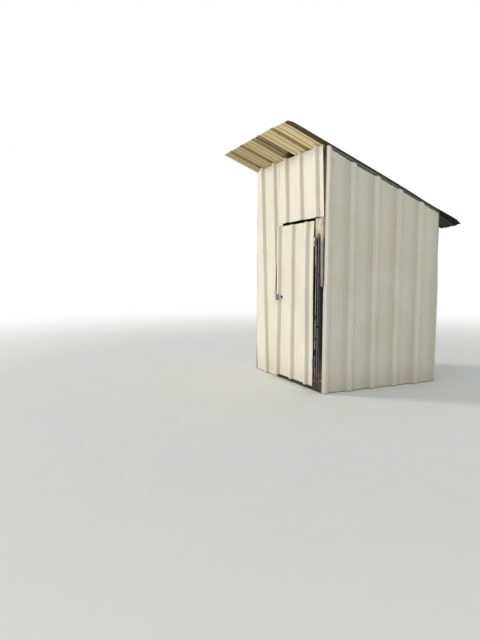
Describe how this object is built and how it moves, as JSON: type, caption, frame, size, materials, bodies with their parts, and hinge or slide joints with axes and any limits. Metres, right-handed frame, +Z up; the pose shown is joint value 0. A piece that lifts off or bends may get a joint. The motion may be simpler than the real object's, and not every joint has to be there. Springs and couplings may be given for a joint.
{
  "type": "outhouse",
  "caption": "Small timber-framed outhouse clad in cream ribbed steel sheets, with a single-slope roof, deep front overhang and a hinged door.",
  "frame": {"origin": "on the ground, under the middle of the four walls", "axes": "+Z up, -Y out of the door, +X to the right seen from the front"},
  "size_m": [1.607, 2.3016, 2.7218],
  "materials": {
    "cream_sheet": "faded cream paint on ribbed steel",
    "framing_timber": "rough sawn softwood, aged indoors",
    "weathered_timber": "dark weathered softwood with checks",
    "bleached_timber": "sun-bleached softwood",
    "zinc_hardware": "dull zinc plate",
    "black_iron": "dull black"
  },
  "bodies": {
    "hut": {"skid_left": "weathered_timber", "skid_right": "weathered_timber", "floor_joists": "framing_timber", "floor_boards": "framing_timber", "post_front_left": "framing_timber", "post_front_right": "weathered_timber", "post_back_left": "framing_timber", "post_back_right": "framing_timber", "trimmer_stud": "weathered_timber", "jamb_left": "framing_timber", "jamb_right": "weathered_timber", "door_head_beam": "weathered_timber", "door_stop": "framing_timber", "plate_front": "framing_timber", "plate_back": "framing_timber", "girts_left": "framing_timber", "girts_right": "framing_timber", "girts_back": "framing_timber", "girts_front": "framing_timber", "rafter_left": "framing_timber", "rafter_right": "framing_timber", "purlins": "framing_timber", "corner_batten": "bleached_timber", "front_header_sheet": "cream_sheet", "front_left_sheet": "cream_sheet", "right_wall_sheet_front": "cream_sheet", "right_wall_sheet_rear": "cream_sheet", "left_wall_sheet_front": "cream_sheet", "left_wall_sheet_rear": "cream_sheet", "back_wall_sheet_left": "cream_sheet", "back_wall_sheet_right": "cream_sheet", "roof_sheet_left": "cream_sheet", "roof_sheet_right": "cream_sheet", "hinge_leaves_frame": "zinc_hardware"},
    "door": {"door_sheet": "cream_sheet", "door_stiles": "framing_timber", "door_rails": "framing_timber", "door_brace": "framing_timber", "hinge_leaves_door": "zinc_hardware", "latch_plate": "zinc_hardware", "latch_knob": "black_iron"}
  },
  "joints": [
    {"name": "door_swing", "type": "hinge", "parent": "hut", "child": "door", "pos_m": [0.5845, -0.769, 0.9], "axis": [0, 0, 1], "range_deg": [0, 110]}
  ]
}
